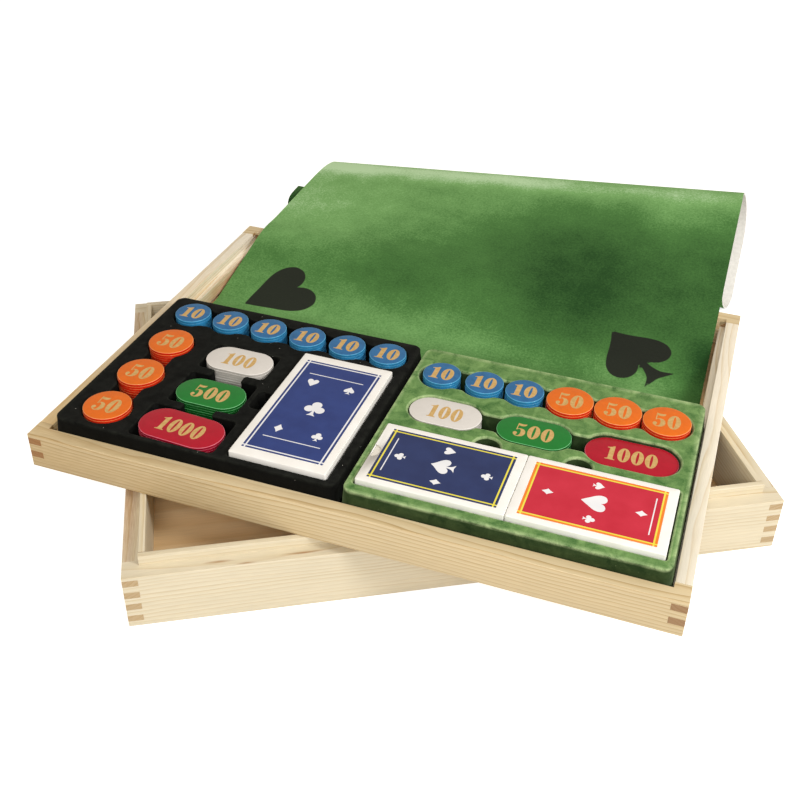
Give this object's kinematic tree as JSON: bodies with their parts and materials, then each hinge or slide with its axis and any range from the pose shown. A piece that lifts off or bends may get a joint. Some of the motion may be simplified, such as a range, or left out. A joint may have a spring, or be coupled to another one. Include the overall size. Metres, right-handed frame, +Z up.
{
  "type": "poker chip case",
  "caption": "Pine poker chip case laid open: cover under the box, two flocked trays of chips, plaques and cards, and a felt mat",
  "frame": {"origin": "the middle of the cover's flat underside, on the table", "axes": "X runs along the shallow box's front, Y from its front to its back, Z up"},
  "size_m": [0.51, 0.5535, 0.1099],
  "materials": {
    "pine": "clear satin lacquer on pine",
    "plywood": "thin plywood, bare",
    "black_flock": "black flock on moulded plastic",
    "green_flock": "dark green flock on moulded plastic",
    "mat_felt": "green felt with printed suits, white underside",
    "blue_chip": "moulded, gilt number",
    "orange_chip": "moulded, gilt number",
    "white_chip": "moulded, gilt number",
    "green_chip": "moulded, gilt number",
    "red_chip": "moulded, gilt number",
    "carton_board": "printed and varnished card board",
    "cards": "edges of a deck of cards"
  },
  "bodies": {
    "cover": {"cover_front_wall": "pine", "cover_back_wall": "pine", "cover_left_wall": "pine", "cover_right_wall": "pine", "cover_bottom_panel": "plywood"},
    "box": {"box_front_wall": "pine", "box_back_wall": "pine", "box_left_wall": "pine", "box_right_wall": "pine", "box_bottom_panel": "plywood"},
    "left_tray": {"black_tray": "black_flock"},
    "right_tray": {"green_tray": "green_flock"},
    "mat": {"playing_mat": "mat_felt"},
    "left_10_stack_1": {"black_tray_10_stack_1": "blue_chip"},
    "left_10_stack_2": {"black_tray_10_stack_2": "blue_chip"},
    "left_10_stack_3": {"black_tray_10_stack_3": "blue_chip"},
    "left_10_stack_4": {"black_tray_10_stack_4": "blue_chip"},
    "left_10_stack_5": {"black_tray_10_stack_5": "blue_chip"},
    "left_10_stack_6": {"black_tray_10_stack_6": "blue_chip"},
    "left_50_stack_1": {"black_tray_50_stack_1": "orange_chip"},
    "left_50_stack_2": {"black_tray_50_stack_2": "orange_chip"},
    "left_50_stack_3": {"black_tray_50_stack_3": "orange_chip"},
    "left_100_plaques": {"black_tray_100_plaques": "white_chip"},
    "left_500_plaques": {"black_tray_500_plaques": "green_chip"},
    "left_1000_plaques": {"black_tray_1000_plaques": "red_chip"},
    "right_10_stack_1": {"green_tray_10_stack_1": "blue_chip"},
    "right_10_stack_2": {"green_tray_10_stack_2": "blue_chip"},
    "right_10_stack_3": {"green_tray_10_stack_3": "blue_chip"},
    "right_50_stack_1": {"green_tray_50_stack_1": "orange_chip"},
    "right_50_stack_2": {"green_tray_50_stack_2": "orange_chip"},
    "right_50_stack_3": {"green_tray_50_stack_3": "orange_chip"},
    "right_100_plaques": {"green_tray_100_plaques": "white_chip"},
    "right_500_plaques": {"green_tray_500_plaques": "green_chip"},
    "right_1000_plaques": {"green_tray_1000_plaques": "red_chip"},
    "tarot_cards": {"tarot_carton": "carton_board", "tarot_deck": "cards"},
    "blue_cards": {"blue_carton": "carton_board", "blue_deck": "cards"},
    "red_cards": {"red_carton": "carton_board", "red_deck": "cards"}
  },
  "joints": [
    {"name": "box_lift", "type": "slide", "parent": "cover", "child": "box", "axis": [0, 0, 1], "range_m": [0, 0.08]},
    {"name": "left_tray_lift", "type": "slide", "parent": "box", "child": "left_tray", "axis": [0, 0, 1], "range_m": [0, 0.05]},
    {"name": "right_tray_lift", "type": "slide", "parent": "box", "child": "right_tray", "axis": [0, 0, 1], "range_m": [0, 0.05]},
    {"name": "mat_lift", "type": "slide", "parent": "box", "child": "mat", "axis": [0, 0, 1], "range_m": [0, 0.05]},
    {"name": "left_10_lift_1", "type": "slide", "parent": "left_tray", "child": "left_10_stack_1", "axis": [0, 0, 1], "range_m": [0, 0.04]},
    {"name": "left_10_lift_2", "type": "slide", "parent": "left_tray", "child": "left_10_stack_2", "axis": [0, 0, 1], "range_m": [0, 0.04]},
    {"name": "left_10_lift_3", "type": "slide", "parent": "left_tray", "child": "left_10_stack_3", "axis": [0, 0, 1], "range_m": [0, 0.04]},
    {"name": "left_10_lift_4", "type": "slide", "parent": "left_tray", "child": "left_10_stack_4", "axis": [0, 0, 1], "range_m": [0, 0.04]},
    {"name": "left_10_lift_5", "type": "slide", "parent": "left_tray", "child": "left_10_stack_5", "axis": [0, 0, 1], "range_m": [0, 0.04]},
    {"name": "left_10_lift_6", "type": "slide", "parent": "left_tray", "child": "left_10_stack_6", "axis": [0, 0, 1], "range_m": [0, 0.04]},
    {"name": "left_50_lift_1", "type": "slide", "parent": "left_tray", "child": "left_50_stack_1", "axis": [0, 0, 1], "range_m": [0, 0.04]},
    {"name": "left_50_lift_2", "type": "slide", "parent": "left_tray", "child": "left_50_stack_2", "axis": [0, 0, 1], "range_m": [0, 0.04]},
    {"name": "left_50_lift_3", "type": "slide", "parent": "left_tray", "child": "left_50_stack_3", "axis": [0, 0, 1], "range_m": [0, 0.04]},
    {"name": "left_100_lift", "type": "slide", "parent": "left_tray", "child": "left_100_plaques", "axis": [0, 0, 1], "range_m": [0, 0.03]},
    {"name": "left_500_lift", "type": "slide", "parent": "left_tray", "child": "left_500_plaques", "axis": [0, 0, 1], "range_m": [0, 0.03]},
    {"name": "left_1000_lift", "type": "slide", "parent": "left_tray", "child": "left_1000_plaques", "axis": [0, 0, 1], "range_m": [0, 0.03]},
    {"name": "tarot_lift", "type": "slide", "parent": "left_tray", "child": "tarot_cards", "axis": [0, 0, 1], "range_m": [0, 0.04]},
    {"name": "right_10_lift_1", "type": "slide", "parent": "right_tray", "child": "right_10_stack_1", "axis": [0, 0, 1], "range_m": [0, 0.04]},
    {"name": "right_10_lift_2", "type": "slide", "parent": "right_tray", "child": "right_10_stack_2", "axis": [0, 0, 1], "range_m": [0, 0.04]},
    {"name": "right_10_lift_3", "type": "slide", "parent": "right_tray", "child": "right_10_stack_3", "axis": [0, 0, 1], "range_m": [0, 0.04]},
    {"name": "right_50_lift_1", "type": "slide", "parent": "right_tray", "child": "right_50_stack_1", "axis": [0, 0, 1], "range_m": [0, 0.04]},
    {"name": "right_50_lift_2", "type": "slide", "parent": "right_tray", "child": "right_50_stack_2", "axis": [0, 0, 1], "range_m": [0, 0.04]},
    {"name": "right_50_lift_3", "type": "slide", "parent": "right_tray", "child": "right_50_stack_3", "axis": [0, 0, 1], "range_m": [0, 0.04]},
    {"name": "right_100_lift", "type": "slide", "parent": "right_tray", "child": "right_100_plaques", "axis": [0, 0, 1], "range_m": [0, 0.03]},
    {"name": "right_500_lift", "type": "slide", "parent": "right_tray", "child": "right_500_plaques", "axis": [0, 0, 1], "range_m": [0, 0.03]},
    {"name": "right_1000_lift", "type": "slide", "parent": "right_tray", "child": "right_1000_plaques", "axis": [0, 0, 1], "range_m": [0, 0.03]},
    {"name": "blue_lift", "type": "slide", "parent": "right_tray", "child": "blue_cards", "axis": [0, 0, 1], "range_m": [0, 0.03]},
    {"name": "red_lift", "type": "slide", "parent": "right_tray", "child": "red_cards", "axis": [0, 0, 1], "range_m": [0, 0.03]}
  ]
}
